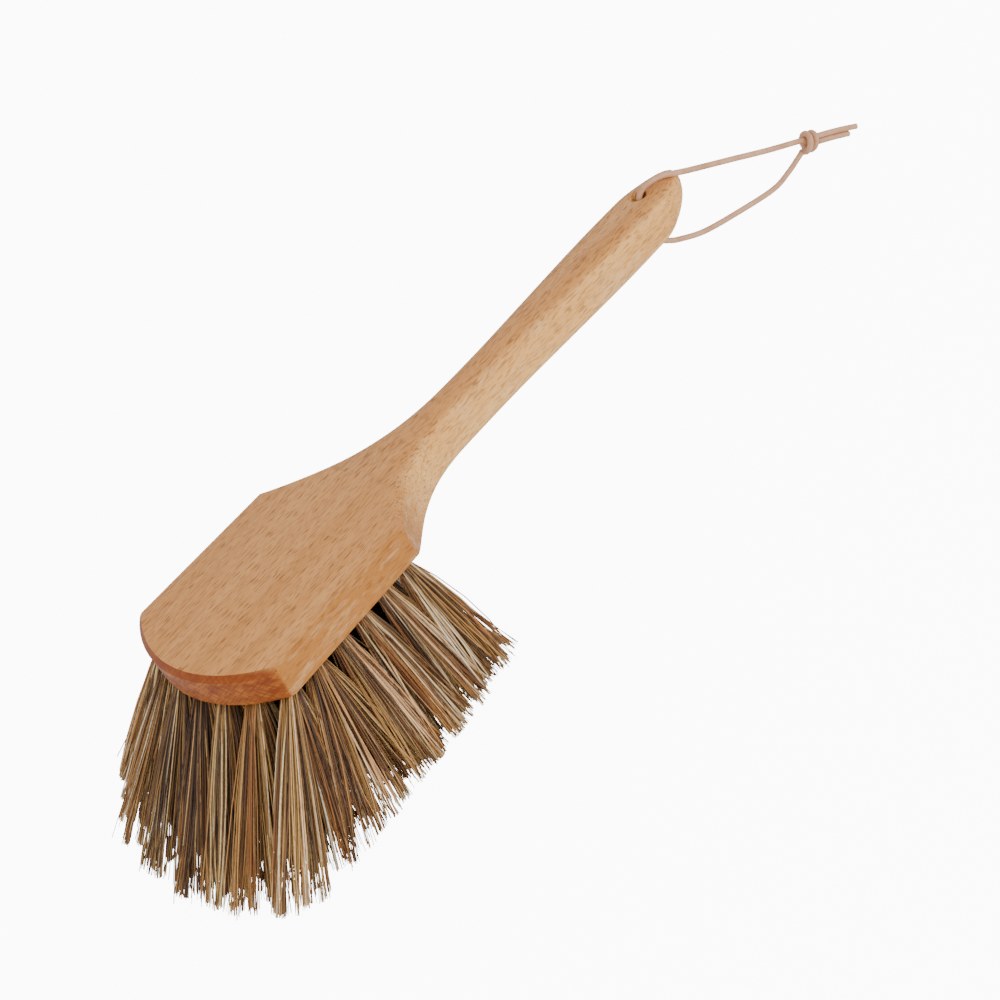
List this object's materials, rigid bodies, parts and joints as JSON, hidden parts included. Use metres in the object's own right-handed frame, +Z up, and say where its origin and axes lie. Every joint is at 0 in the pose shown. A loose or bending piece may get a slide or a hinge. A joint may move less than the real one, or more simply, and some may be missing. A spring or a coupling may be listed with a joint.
{
  "type": "garden furniture brush",
  "caption": "Hand brush with a flat beech head, flaring tufts of mixed plant fibre, a rounded handle and a knotted leather hanging thong",
  "frame": {"origin": "on the surface that the brush stands on, under the middle of the box round its wood and tufts", "axes": "+X from the toe of the head to the tip of the handle, +Z up through the top of the head, and the side towards the picture's camera is -Y"},
  "size_m": [0.4295, 0.1172, 0.07],
  "materials": {
    "beech": "oiled, satin",
    "fibre": "packed plant fibre, matte",
    "leather": "smooth, undyed"
  },
  "bodies": {
    "brush": {"beech_body": "beech", "tuft_01": "fibre", "tuft_02": "fibre", "tuft_03": "fibre", "tuft_04": "fibre", "tuft_05": "fibre", "tuft_06": "fibre", "tuft_07": "fibre", "tuft_08": "fibre", "tuft_09": "fibre", "tuft_10": "fibre", "tuft_11": "fibre", "tuft_12": "fibre", "tuft_13": "fibre", "tuft_14": "fibre", "tuft_15": "fibre", "tuft_16": "fibre", "tuft_17": "fibre", "tuft_18": "fibre", "tuft_19": "fibre", "tuft_20": "fibre", "tuft_21": "fibre", "tuft_22": "fibre", "tuft_23": "fibre", "tuft_24": "fibre", "tuft_25": "fibre", "tuft_26": "fibre", "tuft_27": "fibre", "tuft_28": "fibre", "tuft_29": "fibre", "tuft_30": "fibre", "tuft_31": "fibre", "tuft_32": "fibre", "tuft_33": "fibre", "tuft_34": "fibre", "tuft_35": "fibre", "tuft_36": "fibre", "tuft_37": "fibre", "tuft_38": "fibre", "tuft_39": "fibre"},
    "thong": {"thong_loop": "leather", "thong_knot": "leather", "thong_tail_long": "leather", "thong_tail_short": "leather"}
  },
  "joints": [
    {"name": "thong_swing", "type": "hinge", "parent": "brush", "child": "thong", "pos_m": [0.14674, -0.01433, 0.055], "axis": [0, 0, 1], "range_deg": [-80, 0]}
  ]
}
